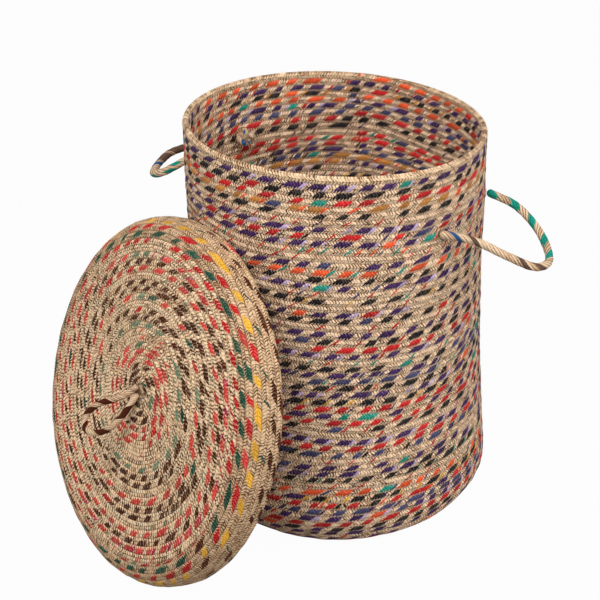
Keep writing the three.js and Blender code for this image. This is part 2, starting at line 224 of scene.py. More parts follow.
@dataclass
class Lay:
    """How one rope is twisted and which rag strips it holds, patch by patch.

    A patch is where a rag strand comes to the rope's face, once in each lay of the twist. A row's
    code has a letter for each of its two strands, a small one for a thin rag. A second code after a
    stroke is for the far side. Widths are in lays, the pitch, lift and lumps in mm. Sizes and tints
    are the least share and what is drawn on top of it.
    """

    rows: Sequence[str]
    seed: int
    hand: int = 1
    pitch: float = 28.0
    width: float = 0.52
    thin: float = 0.12
    second: float = 0.36
    missing: float = 0.07
    thin_missing: float = 0.45
    stray: float = 0.1
    strays: str = "RTTSOKP"
    lead: float = 0.37
    jitter: float = 0.07
    far_side: float = 0.3
    sizes: tuple[float, float] = (0.7, 0.55)
    tints: tuple[float, float] = (0.75, 0.5)
    lift: float = 0.32
    lump_spacing: float = 13.0
    lump: float = 0.25

    def twist(self, along: np.ndarray) -> np.ndarray:
        """Twists the rope unevenly, as hands do.

        Args:
            along: Distance along the rope in mm.

        Returns:
            The twist at each distance in lays.
        """
        wander = np.zeros(np.shape(along))
        for i, (wave, size) in enumerate(WANDER):
            wander += size * np.sin(TURN * along / wave + self.seed * (1.7 + i))
        return along / self.pitch + wander

    def tone(self, turns: np.ndarray, most: int) -> np.ndarray:
        """How pale the rope is at each turn, out of so many."""
        drawn = np.random.default_rng(self.seed + 7).normal(0, 1, most + 3)
        return np.interp(turns, np.arange(most + 3), drawn)

    def strands(self, lays: np.ndarray, turns: np.ndarray) -> tuple[Strand, Strand]:
        """Chooses the rag of each patch of the rope's two rag strands.

        Args:
            lays: The rope's twist, in whole and part lays, at each step along it.
            turns: How many turns are wound at each step.

        Returns:
            The two strands.
        """
        draw = np.random.default_rng(self.seed)
        count = int(lays.max() - lays.min()) + 8
        middle = np.floor(lays.min()) - 2 + np.arange(count) + 0.5
        middle = middle + draw.uniform(-self.jitter, self.jitter, count)
        row = np.interp(middle, lays, turns)
        patches = np.zeros((2, count, 4))
        for i in range(count):
            code = self.code_at(row[i])
            for strand in (0, 1):
                patches[strand, i] = self._patch(code[strand], strand, draw)
        return Strand(middle, patches[0]), Strand(middle + self.lead, patches[1])

    def code_at(self, turn: float) -> str:
        """Finds which rags the rope holds at a turn.

        Args:
            turn: How many turns are wound.

        Returns:
            The letters of the two strands.
        """
        whole = int(np.clip(turn, 0, len(self.rows) - 1))
        near, _, far = self.rows[whole].partition("/")
        return far if far and abs(turn - whole - 0.5) > self.far_side else near

    def _patch(self, letter: str, strand: int, draw: np.random.Generator) -> list[float]:
        """Draws one patch.

        Args:
            letter: The letter of its rag.
            strand: 0 or 1.
            draw: Gives the random numbers.

        Returns:
            Red, green, blue and the width.
        """
        chance, size, tint, other = draw.random(4)
        pick = self.strays[int(draw.integers(len(self.strays)))]
        small = letter.islower()
        if letter != "." and other < self.stray:
            letter = pick
        rag = RAG_LETTERS[letter.upper()]
        width = (self.thin if small else self.width) * (self.sizes[0] + self.sizes[1] * size)
        if strand and not small:
            width *= self.second
        if rag is Rag.NONE or chance < (self.thin_missing if small or strand else self.missing):
            width = 0.0
        return [*(np.array(linear(rag.value)[:3]) * (self.tints[0] + self.tints[1] * tint)), width]


@dataclass
class Sweep:
    """A rope length as rings of points, with what its material has to know of each point."""

    points: np.ndarray
    along: np.ndarray
    lays: np.ndarray
    row: np.ndarray
    edge: np.ndarray
    tone: np.ndarray
    strands: tuple[Strand, Strand]
    wrap: float = -1.0

    def mesh(self, name: str) -> bpy.types.Mesh:
        """Builds the closed mesh with its attributes.

        Args:
            name: Name of the mesh.

        Returns:
            The mesh, in metres.
        """
        rings, sides = self.points.shape[:2]
        faces = self._corners(np.arange(rings * sides).reshape(rings, sides))
        caps = [list(range(sides))[::-1], list(range((rings - 1) * sides, rings * sides))]
        mesh = bpy.data.meshes.new(name)
        mesh.from_pydata((self.points.reshape(-1, 3) * MM).tolist(), [], faces.tolist() + caps)
        mesh.polygons.foreach_set("use_smooth", np.ones(len(mesh.polygons), dtype=bool))

        def store(key: str, values: np.ndarray, at_ends: float | None = 0.0, size: int = 1) -> None:
            """Stores what the material reads.

            Args:
                key: Name of the attribute.
                values: Its values at the corners of the side faces, or at the points.
                at_ends: Its value at the corners of the two ends, or None for values at the points.
                size: 1 for numbers, 4 for colours.
            """
            domain, kind = "POINT" if at_ends is None else "CORNER", "FLOAT" if size == 1 else "FLOAT_COLOR"
            ends = [] if at_ends is None else np.full(2 * sides * size, at_ends)
            flat = np.concatenate([values.reshape(-1), ends]).astype(np.float32)
            layer = mesh.attributes.new(key, kind, domain)
            layer.data.foreach_set("value" if size == 1 else "color", flat)

        for key in ("along", "row", "edge", "tone"):
            store(key, np.broadcast_to(getattr(self, key), (rings, sides)), None)
        corners = self._corners(self.lays, self.wrap)
        store("lays", corners)
        for key, strand in zip(("one", "two"), self.strands):
            index = strand.nearest(corners.mean(axis=1))
            store(f"off_{key}", corners - strand.centres[index][:, None], 9.0)
            store(f"rag_{key}", np.repeat(strand.patches[index][:, None, :], 4, axis=1), size=4)
        mesh.validate()
        mesh.update()
        return mesh

    @staticmethod
    def _corners(values: np.ndarray, wrap: float = 0.0) -> np.ndarray:
        """Gathers values at the corners of the side faces.

        Args:
            values: One for each point of each ring.
            wrap: What is added where a ring closes.

        Returns:
            Four for each face.
        """
        ahead = np.roll(values, -1, axis=1)
        if wrap:
            ahead[:, -1] += wrap
        return np.stack([values[:-1], ahead[:-1], ahead[1:], values[1:]], -1).reshape(-1, 4)


def face_depth(off_middle: np.ndarray, proud: np.ndarray) -> np.ndarray:
    """The depth of points that lie off a row's middle, once its face stands proud, all in mm."""
    depth = MIDDLE + off_middle
    return depth - np.sign(MIDDLE - depth) * proud


def wound(
    along: np.ndarray,
    turns: np.ndarray,
    tone: np.ndarray,
    lay: Lay,
    place: Callable[[np.ndarray], np.ndarray],
) -> Sweep:
    """Makes a rope length of a winding from its place and its lay.

    Args:
        along: Distance along the rope at each step in mm.
        turns: How many turns are wound at each step.
        tone: How pale the rope is at each step.
        lay: The rope's twist and rags.
        place: Gives the points of all rings for how far each point stands proud in mm.

    Returns:
        The sweep.
    """
    base = lay.twist(along)
    strands = lay.strands(base, turns)
    lays = base[:, None] - lay.hand * SECTION[None, :, 2]
    proud = lay.lift * strands[0].swell(lays)
    proud += lumps(along, lay.seed + 1, lay.lump_spacing, lay.lump)[:, None]
    to_seam = (0.5 - np.abs(SECTION[:, 0])) * ROW
    return Sweep(
        points=place(proud),
        along=along[:, None],
        row=np.floor(turns)[:, None] + 0.5 + SECTION[None, :, 0] * 0.998,
        lays=lays,
        edge=to_seam[None, :],
        tone=tone[:, None],
        strands=strands,
        wrap=-float(lay.hand),
    )


@dataclass
class Shell:
    """A turned shell that starts flat, turns a round edge and runs on straight, as in the CAD."""

    edge_radius: float
    edge_rows: float
    row_after: float
    radius_at: Callable[[Numbers], Numbers]

    def place(self, row: np.ndarray, depth: np.ndarray) -> tuple[np.ndarray, np.ndarray]:
        """The radius and height of places on the shell.

        Args:
            row: How many rows from its start.
            depth: How deep below the crests in mm.

        Returns:
            Radius and height in mm, the height above the flat side.
        """
        quarter = self.edge_radius * math.pi / 2
        length = np.where(
            row <= self.edge_rows,
            row * quarter / self.edge_rows,
            quarter + (row - self.edge_rows) * self.row_after,
        )
        angle = np.clip(length / self.edge_radius, 0, math.pi / 2)
        past = np.maximum(length - quarter, 0)
        foot = self.radius_at(self.edge_radius) - self.edge_radius
        curved = foot + self.edge_radius * np.sin(angle)
        radius = np.where(past > 0, self.radius_at(self.edge_radius + past), curved)
        height = self.edge_radius * (1 - np.cos(angle)) + past
        return radius - np.sin(angle) * depth, height + np.cos(angle) * depth


@dataclass
class RowWinding:
    """A rope wound row on row round a shell, which climbs to the next row over a short stretch."""

    shell: Shell
    rows: int
    lay: Lay
    climb: float
    climb_angle: float
    steps: int
    to_world: Callable[[np.ndarray, np.ndarray, np.ndarray], np.ndarray]
    hand_made: Unevenness = field(default_factory=lambda: Unevenness(5))
    wave: float = 0.8
    turn_length: float = 1200.0
    rounding: float = 0.05
    rounded_depth: float = 3.0
    least_width: float = 0.02

    def sweep(self, first: float, last: float) -> Sweep:
        """Makes the rope from one turn to another.

        Args:
            first: The turn at which the length begins.
            last: The turn at which it ends.

        Returns:
            The sweep of this length.
        """
        begin = first - self.climb if first == 0 else first
        count = int(round((last - begin) * self.steps)) + 1
        turns = np.linspace(begin, last, count)
        whole = np.floor(turns + 1e-9)
        rise = eased((turns - whole - 1 + self.climb) / self.climb)
        low = np.clip(whole + rise, 0, self.rows)
        high = np.clip(whole + 1 + rise, 0, self.rows)
        width = np.maximum(high - low, self.least_width)
        angle = self.climb_angle + TURN * turns
        middle = (low + high) / 2
        full = np.sqrt(np.minimum(width, 1))
        radius, _ = self.shell.place(middle, np.zeros(count))
        step = np.abs(np.diff(angle)) * (radius[1:] + radius[:-1]) / 2
        along = np.concatenate([[0.0], np.cumsum(step)]) + self.turn_length * begin
        shape = np.repeat(SECTION[None, :, :2], count, axis=0)
        top = eased((turns - (self.rows - 1) + self.rounding) / self.rounding)[:, None]
        inward = np.where(SECTION[:, 1] < MIDDLE, self.rounded_depth, -self.rounded_depth)
        shape[:, :, 0] -= top * ROUNDING
        shape[:, :, 1] += top * ROUNDING * inward

        def place(proud: np.ndarray) -> np.ndarray:
            """Places the points of all rings.

            Args:
                proud: How far each point stands proud in mm.

            Returns:
                The points in mm.
            """
            depth = face_depth((shape[:, :, 1] - MIDDLE) * full[:, None], proud)
            row = middle[:, None] + shape[:, :, 0] * width[:, None] * OVERLAP
            wave = self.hand_made.at(angle[:, None], row)
            return self.to_world(row, depth - self.wave * (wave - 0.5), angle[:, None])

        return wound(along, np.maximum(turns, 0), self.lay.tone(turns + 1, self.rows), self.lay, place)


@dataclass
class FlatCoil:
    """A rope wound as a flat spiral, whose last turn narrows to end against the next ring."""

    hub: float
    edge: float
    lay: Lay
    to_world: Callable[[np.ndarray, np.ndarray], np.ndarray]
    shift: tuple[float, float] = (0.0, 0.0)
    last_width: float = 0.5
    spacing: float = 4.6
    spacing_share: float = 0.025
    taper: float = 0.12
    start_size: float = 0.35
    hand_made: Unevenness = field(default_factory=lambda: Unevenness(11))
    wave: float = 0.5

    @property
    def turns(self) -> float:
        """How many turns fit between the hub and the edge."""
        return (self.edge - self.hub) / ROW

    def line_at(self, turns: Numbers, angle: Numbers) -> np.ndarray:
        """The line between two turns.

        Args:
            turns: How many turns are wound.
            angle: Direction round the axis.

        Returns:
            Flat points in mm.
        """
        radius = self.hub + ROW * turns
        share = np.maximum(0, 1 - radius / self.edge)
        held = np.minimum(radius, self.edge)
        flat = [held * np.cos(angle) + self.shift[0] * share, held * np.sin(angle) + self.shift[1] * share]
        return np.stack(flat, -1)

    def sweep(self, first: float, last: float | None = None) -> Sweep:
        """Makes the rope from one turn to another, or to where it ends at the edge.

        Args:
            first: The turn at which the length begins.
            last: The turn at which it ends.

        Returns:
            The sweep of this length.
        """
        end = self.turns - self.last_width / ROW if last is None else last
        stops = [first]
        while stops[-1] < end:
            radius = max(self.hub + ROW * (stops[-1] + 0.5), ROW)
            step = max(self.spacing, radius * self.spacing_share)
            stops.append(stops[-1] + step / (TURN * radius))
        stops[-1] = end
        turns = np.array(stops)
        angle = TURN * turns
        inner = self.line_at(turns, angle)
        outer = self.line_at(np.minimum(turns + 1, self.turns), angle)
        width = np.linalg.norm(outer - inner, axis=1) / ROW
        centre = (inner + outer) / 2
        length = self.hub * TURN * turns + ROW * math.pi * turns * (turns + 1)
        full = np.sqrt(np.minimum(width, 1))
        lead = eased((turns - first) / self.taper) if first == 0 else np.ones(len(turns))

        def place(proud: np.ndarray) -> np.ndarray:
            """Places the points of all rings.

            Args:
                proud: How far each point stands proud in mm.

            Returns:
                The points in mm.
            """
            scale = (self.start_size + (1 - self.start_size) * lead)[:, None]
            across = SECTION[None, :, 0:1] * scale[:, :, None] * OVERLAP
            flat = centre[:, None, :] + (outer - inner)[:, None, :] * across
            depth = face_depth((SECTION[None, :, 1] - MIDDLE) * full[:, None] * scale, proud)
            wave = self.hand_made.at(angle[:, None], turns[:, None] + across[:, :, 0])
            return self.to_world(flat, depth - self.wave * wave)

        return wound(length, turns, self.lay.tone(turns, int(self.turns)), self.lay, place)


def math_node(operation: str, swapped: bool = False) -> Callable[..., "Port"]:
    """Makes a method of Port that adds a Math node.

    Args:
        operation: What the node works out.
        swapped: Whether the port comes after the other value.

    Returns:
        The method.
    """

    def method(port: "Port", *others: "Port | float") -> "Port":
        """Adds the node."""
        values = (*others, port) if swapped else (port, *others)
        return port.wiring.add("ShaderNodeMath", {"operation": operation}, dict(enumerate(values)))

    return method


@dataclass
class Port:
    """A shader socket that Python's operators turn into Math nodes."""

    wiring: "Wiring"
    socket: bpy.types.NodeSocket

    __add__ = __radd__ = math_node("ADD")
    __mul__ = __rmul__ = math_node("MULTIPLY")
    __sub__ = math_node("SUBTRACT")
    __rsub__ = math_node("SUBTRACT", swapped=True)
    __truediv__ = math_node("DIVIDE")
    __abs__ = math_node("ABSOLUTE")
    fraction = math_node("FRACT")
    floor = math_node("FLOOR")
    most = math_node("MAXIMUM")

    def smooth(self, low: float, high: float) -> "Port":
        """A smooth step from 0 at low to 1 at high."""
        sockets = {"Value": self, "From Min": low, "From Max": high}
        return self.wiring.add("ShaderNodeMapRange", {"interpolation_type": "SMOOTHSTEP"}, sockets)


class Wiring:
    """Adds nodes to one new material or world."""

    def __init__(self, name: str, owners: bpy.types.bpy_prop_collection = bpy.data.materials) -> None:
        """Makes the material or world, without a node.

        Args:
            name: Its name.
            owners: Blender's materials or worlds.
        """
        self.owner = owners.new(name)
        self.owner.use_nodes = True
        self.tree = self.owner.node_tree
        self.tree.nodes.clear()

    def node(self, kind: str, settings: dict, sockets: dict) -> bpy.types.Node:
        """Adds a node.

        Args:
            kind: The node's type.
            settings: Its properties, which are set first.
            sockets: Values or links of its inputs, by name or number.

        Returns:
            The node.
        """
        made = self.tree.nodes.new(kind)
        for key, value in settings.items():
            setattr(made, key, value)
        for key, value in sockets.items():
            if isinstance(value, Port):
                self.tree.links.new(value.socket, made.inputs[key])
            else:
                made.inputs[key].default_value = value
        return made

    def add(self, kind: str, settings: dict, sockets: dict, output: int | str = 0) -> Port:
        """Adds a node and gives one of its outputs."""
        return Port(self, self.node(kind, settings, sockets).outputs[output])

    def number(self, attribute: str) -> Port:
        """Reads a number that the mesh holds."""
        return self.add("ShaderNodeAttribute", {"attribute_name": attribute}, {}, "Fac")

    def colour(self, attribute: str) -> tuple[Port, Port]:
        """Reads a colour and its fourth number that the mesh holds."""
        node = self.node("ShaderNodeAttribute", {"attribute_name": attribute}, {})
        return Port(self, node.outputs["Color"]), Port(self, node.outputs["Alpha"])

    def mix(
        self, factor: Port | float, first: Port | tuple, second: Port | tuple, blend: str = "MIX"
    ) -> Port:
        """Mixes two colours."""
        settings = {"data_type": "RGBA", "blend_type": blend}
        return self.add("ShaderNodeMix", settings, {"Factor": factor, 6: first, 7: second}, 2)

    def noise(self, vector: Port, scale: float, detail: float) -> Port:
        """Noise between 0 and 1."""
        sockets = {"Vector": vector, "Scale": scale, "Detail": detail}
        return self.add("ShaderNodeTexNoise", {"noise_dimensions": "3D"}, sockets)

    def chance(self, x: Port | float, y: Port | float) -> Port:
        """A random number between 0 and 1 for each pair of whole numbers."""
        sockets = {"Vector": self.vector(x, y)}
        return self.add("ShaderNodeTexWhiteNoise", {"noise_dimensions": "2D"}, sockets)

    def vector(self, x: Port | float, y: Port | float, z: Port | float = 0.0) -> Port:
        """Puts three values into a vector."""
        return self.add("ShaderNodeCombineXYZ", {}, {"X": x, "Y": y, "Z": z})

    def seen(self) -> Port:
        """Tells what the camera sees from other light.

        Returns:
            1 for what it sees straight, in a mirror or through glass, else 0.
        """
        path = self.node("ShaderNodeLightPath", {}, {})
        rays = ("Is Camera Ray", "Is Glossy Ray", "Is Transmission Ray")
        camera, glossy, through = (Port(self, path.outputs[ray]) for ray in rays)
        return camera.most(glossy).most(through)


@dataclass(frozen=True)
class RopeFinish:
    """The look of one kind of rope: its jute, its sewing and its relief.

    A sewn rope shows chevrons, where the zigzag thread draws its fibres to the seams. A rope that is
    not sewn shows its slanted plies. Lengths are in mm, widths of rags in lays.
    """

    pale: str
    # Colour between the fibres: partly the jute's darker fibre, partly painted shade in the gaps.
    deep: str
    thread: str
    tan: str = "c08a5c"
    stitch: float = 3.8
    slope: float = 0.8
    plies: float = 0.0
    relief: float = 1.4
    ragged: float = 0.12
    cover: float = 1.0
    mesh: float = 0.1
    specular: float = 0.12
    # Painted shade and painted highlight of the rags' folds, as factors on their colour.
    fold_shades: tuple[float, float] = (0.5, 1.45)

    def material(self, name: str) -> bpy.types.Material:
        """Builds the material.

        Args:
            name: Name of the material.

        Returns:
            The material.
        """
        wiring = Wiring(name)
        along, lays, row, edge, tone = map(wiring.number, ("along", "lays", "row", "edge", "tone"))
        place = wiring.vector(along, edge, row * 9.0 + lays * 3.0)
        fuzz = wiring.noise(place, 0.8, 3.0)
        wobble = wiring.noise(place, 0.16, 1.0)
        streaks = wiring.noise(wiring.vector(lays * 24.0, along * 0.09), 1.0, 3.0)
        cloud = wiring.noise(wiring.vector(along, edge, tone * 9.0), 0.05, 2.0)

        # Chevrons: each half of a row has its own slanted stitches, which end at the row's middle.
        if self.plies:
            ticks, side, ends = lays * self.plies + (fuzz - 0.5) * 0.5, 0.0, 1.0
        else:
            side = (row * 2.0).floor()
            ends = 1 - (abs((row * 2.0).fraction() - 0.5) * 2.0).smooth(0.5, 1.0) * 0.7
            ticks = (along - edge * self.slope) / self.stitch + wiring.chance(side, 3.0)
            ticks = ticks + (wobble - 0.5) * 1.6 + (fuzz - 0.5) * 0.3
        luck = wiring.chance(ticks.floor(), side)
        across = abs(ticks.fraction() - 0.5) * 2.0
        thick = across + luck * 0.35 + (fuzz - 0.5) * 0.5
        fibre = (1 - thick.smooth(0.5, 1.05)) * ends

        # Jute: pale on its fibres and deep between them, in blotches, with a few tan stitches. The deep
        # colour is partly the jute's darker fibre and partly painted shade in the gaps between fibres.
        blotch = fuzz * 0.45 + wobble * 0.65 + streaks * 0.1 + cloud * 0.2 + tone * 0.02
        blotch = blotch + (wiring.chance((ticks / 2.3).floor(), side + 7.0) - 0.85) * 0.35
        paleness = fibre * (0.45 + wiring.chance(side, ticks.floor()) * 0.5) + blotch
        jute = wiring.mix(paleness.smooth(0.46, 1.14), linear(self.deep), linear(self.pale))
        jute = wiring.mix(luck.smooth(0.78, 0.84) * 0.3, jute, linear(self.tan))

        # Rags: lenses of cloth, with painted shade and painted highlight of folds multiplied into their
        # colour, under the sewing thread that comes in from the seams.
        ragged = (fuzz - 0.5) * self.ragged
        # Where the painted fold shade and painted fold highlight fall on a rag.
        fold_shading = (streaks * 0.6 + fuzz * 0.5 + fibre * 0.2).smooth(0.3, 0.95)
        dark, light = ((shade, shade, shade, 1.0) for shade in self.fold_shades)
        low = 1 - (row.fraction() - 0.5).smooth(-0.01, 0.01)
        teeth = 1.2 + low * 2.4 - (edge + (fuzz - 0.5) * 1.6) - across * 3.6
        sewn = teeth.smooth(0.0, 0.6) * self.cover
        shown = (1 - sewn) * (1 - (1 - thick.smooth(0.3, 0.5)) * self.mesh)
        colour, patches = jute, []
        for key in ("two", "one"):
            rag, width = wiring.colour(f"rag_{key}")
            patches.append(self._patch(wiring.number(f"off_{key}"), width, edge, ragged) * shown)
            fold_shaded_rag = wiring.mix(1.0, rag, wiring.mix(fold_shading, dark, light), "MULTIPLY")
            colour = wiring.mix(patches[-1], colour, fold_shaded_rag)
        raised = patches[0].most(patches[1])
        colour = wiring.mix(sewn * 0.5, colour, linear(self.thread))

        height = fibre * 0.55 * (1 - raised * 0.6) + fuzz * 0.3 + streaks * 0.2 + raised * 0.2
        sockets = {"Height": height, "Distance": MM, "Strength": self.relief}
        sockets = {
            "Base Color": colour,
            "Roughness": 0.8 + streaks * 0.18,
            "Normal": wiring.add("ShaderNodeBump", {}, sockets),
            "Specular IOR Level": self.specular,
        }
        shader = wiring.add("ShaderNodeBsdfPrincipled", {}, sockets)
        wiring.node("ShaderNodeOutputMaterial", {}, {"Surface": shader})
        return wiring.owner

    def _patch(self, off: Port, width: Port, edge: Port, ragged: Port) -> Port:
        """Shows a rag strand on the rope's face, as lenses that narrow towards the seams.

        Args:
            off: Distance from the middle of the patch, in lays.
            width: The patch's width, in lays.
            edge: Distance from the seam in mm.
            ragged: How uneven its outline is, in lays.

        Returns:
            1 on a patch, 0 off it.
        """
        narrowed = 1.0 if self.plies else 0.9 + edge.smooth(-0.6, 2.4) * 0.12
        inside = width * 0.5 * narrowed - abs(off) + ragged
        return inside.smooth(-0.01, 0.02) * width.smooth(0.02, 0.06)


WALL = RopeFinish(pale="ffdcb8", deep="40240f", thread="fbdab6")
RIM = RopeFinish(pale="ffdcb4", deep="553216", thread="fddab4")
LID = RopeFinish(pale="ffdcb4", deep="452813", thread="fad8b0", stitch=4.6, slope=0.5, mesh=0.25)
# The skirt's rope is the lid's rope with its pale fibre and thread colours darkened, as painted shade on the
# skirt.
SHADED_SKIRT = RopeFinish(pale="e2be98", deep="583a22", thread="e0be98", mesh=0.2)
CORD = RopeFinish(
    pale="e0c3a2", deep="80614a", thread="e8caa6", plies=7.0, relief=1.0, ragged=0.03, cover=0.0, mesh=0.0
)


def linked(name: str, data: bpy.types.ID) -> bpy.types.Object:
    """Puts a new object into the scene.

    Args:
        name: The object's name.
        data: Its mesh, camera or lamp data.

    Returns:
        The object.
    """
    made = bpy.data.objects.new(name, data)
    bpy.context.scene.collection.objects.link(made)
    return made


def add_piece(
    name: str, mesh: bpy.types.Mesh, material: bpy.types.Material, body: str, slot: str, node: str
) -> bpy.types.Object:
    """Puts a piece into the scene, on its body.

    Args:
        name: The piece's name.
        mesh: Its mesh, in metres.
        material: Its material.
        body: The CAD body that it rides on.
        slot: Not used.
        node: The CAD node that it stands for.

    Returns:
        The piece.
    """
    mesh.materials.append(material)
    made = linked(name, mesh)
    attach(made, body)
    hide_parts(node)
    log.info("%s: %d faces, on %s", name, len(mesh.polygons), body)
    return made


def centripetal(points: np.ndarray, count: int) -> np.ndarray:
    """A smooth line through points, as the CAD's rope routes run.

    Args:
        points: The points to pass through.
        count: How many points the line gets.

    Returns:
        Points of the line at even shares of its parameter.
    """
    padded = np.vstack([2 * points[0] - points[1], points, 2 * points[-1] - points[-2]])
    spans = len(points) - 1
    made = []
    for place in np.linspace(0, spans, count):
        i = min(int(place), spans - 1)
        share = place - i
        p = padded[i : i + 4]
        gap = [max(np.linalg.norm(p[k + 1] - p[k]) ** 0.5, 1e-4) for k in range(3)]
        enter = (p[1] - p[0]) / gap[0] - (p[2] - p[0]) / (gap[0] + gap[1]) + (p[2] - p[1]) / gap[1]
        leave = (p[2] - p[1]) / gap[1] - (p[3] - p[1]) / (gap[1] + gap[2]) + (p[3] - p[2]) / gap[2]
        enter, leave = enter * gap[1], leave * gap[1]
        second = -3 * p[1] + 3 * p[2] - 2 * enter - leave
        third = 2 * p[1] - 2 * p[2] + enter + leave
        made.append(p[1] + share * (enter + share * (second + share * third)))
    return np.array(made)


def evenly(points: np.ndarray, spacing: float) -> np.ndarray:
    """Places points along a line at an even spacing.

    Args:
        points: Points of the line.
        spacing: About how far apart the new ones lie.

    Returns:
        The new points.
    """
    along = run_lengths(points)
    at = np.linspace(0, along[-1], max(int(along[-1] / spacing), 4))
    return np.stack([np.interp(at, along, points[:, k]) for k in range(3)], -1)


def carried_frames(line: np.ndarray) -> tuple[np.ndarray, np.ndarray]:
    """Two directions across a line at each of its points, without twist.

    Args:
        line: Points of the line.

    Returns:
        The two sets of directions.
    """
    ways = np.gradient(line, axis=0)
    ways /= np.linalg.norm(ways, axis=1)[:, None]
    side = np.cross(ways[0], [0.0, 0.0, 1.0])
    if np.linalg.norm(side) < 0.1:
        side = np.cross(ways[0], [1.0, 0.0, 0.0])
    sides = []
    for way in ways:
        side = side - way * np.dot(side, way)
        side = side / np.linalg.norm(side)
        sides.append(side)
    first = np.array(sides)
    return first, np.cross(ways, first)


@dataclass(frozen=True)
class Strip:
    """A strip of rag wound round a cord: where it shows, as a share of the length, and how wide."""

    place: float
    rag: Rag
    width: float = 0.4


@dataclass
class Cord:
    """A twisted round cord along a line, with strips of rag at chosen places."""

    line: np.ndarray
    radius: float
    lay: float
    strips: Sequence[Strip] = ()
    sides: int = 16
    ridge: float = 0.05
    plies: int = 3
    seed: int = 3
    blunt: tuple[bool, bool] = (True, True)
    taper: float = 0.0
    lump_spacing: float = 9.0
    lump: float = 0.018

    def sweep(self) -> Sweep:
        """Builds the cord's rings.

        Returns:
            The sweep.
        """
        along = run_lengths(self.line)
        total = along[-1]
        around = np.arange(self.sides) / self.sides
        side, up = carried_frames(self.line)
        lays = along[:, None] / self.lay - around[None, :]
        size = self.radius * (1 + lumps(along, self.seed, self.lump_spacing, self.lump))
        size = size * (1 - self.taper * (along / total))
        for blunt, away in zip(self.blunt, (along, total - along)):
            if blunt:
                share = np.clip(away / self.radius, 0, 1)
                size = size * np.sqrt(np.maximum(1 - (1 - share) ** 2, 0.01))
        strand = np.abs(np.cos(math.pi * self.plies * lays))
        radius = size[:, None] * (1 - self.ridge + self.ridge * strand)
        angle = TURN * around[None, :]
        points = (
            self.line[:, None, :]
            + (radius * np.cos(angle))[:, :, None] * side[:, None, :]
            + (radius * np.sin(angle))[:, :, None] * up[:, None, :]
        )
        bare = Strand(np.array([-99.0, 999.0]), np.zeros((2, 4)))
        return Sweep(
            points=points,
            along=along[:, None],
            row=np.zeros((1, 1)),
            lays=lays,
            edge=np.full((1, self.sides), ROW),
            tone=np.zeros((1, 1)),
            strands=(self._strand(total), bare),
        )

    def _strand(self, total: float) -> Strand:
        """Makes the strips into the patches of one strand.

        Args:
            total: The cord's length in mm.

        Returns:
            The strand.
        """
        places = sorted(self.strips, key=lambda strip: strip.place)
        centres = [strip.place * total / self.lay - 0.5 for strip in places]
        patches = [[*linear(strip.rag.value)[:3], strip.width] for strip in places]
        away = [[0.0] * 4]
        return Strand(np.array([-99.0, *centres, 999.0]), np.array(away + patches + away))


def round_ended(line: np.ndarray, radius: float) -> np.ndarray:
    """Lengthens a line by the round ends of its cord about the pivots.

    Args:
        line: Points of the line from pivot to pivot.
        radius: The cord's radius.

    Returns:
        Points of the longer line.
    """
    shares = (1 - np.cos(np.linspace(0.5, math.pi / 2, 5))) * radius
    head, tail = line[0] - line[1], line[-1] - line[-2]
    head, tail = head / np.linalg.norm(head), tail / np.linalg.norm(tail)
    before = [line[0] + head * away for away in shares[::-1]]
    after = [line[-1] + tail * away for away in shares]
    return np.vstack([before, line, after])


def joined(name: str, meshes: Sequence[bpy.types.Mesh]) -> bpy.types.Mesh:
    """Joins meshes that have the same attributes into one.

    Args:
        name: Name of the new mesh.
        meshes: The meshes, which are used up.

    Returns:
        The new mesh.
    """
    objects = [linked(f"{name}_{i}", mesh) for i, mesh in enumerate(meshes)]
    with bpy.context.temp_override(
        active_object=objects[0], selected_editable_objects=objects, selected_objects=objects
    ):
        bpy.ops.object.join()
    mesh = objects[0].data
    mesh.name = name
    bpy.data.objects.remove(objects[0])
    return mesh


def add_cord(name: str, piece: str, cord: Cord, finish: bpy.types.Material) -> None:
    """Args:
        name: The body that it rides on, which is also the node that it stands for.
        piece: The piece's name.
        cord: Its shape.
        finish: Its material.
    """
    made = add_piece(piece, cord.sweep().mesh(name), finish, name, "handle_jute", name)
    length = float(run_lengths(cord.line)[-1])
    log.info("%s: rope %.0f mm long", name, length)


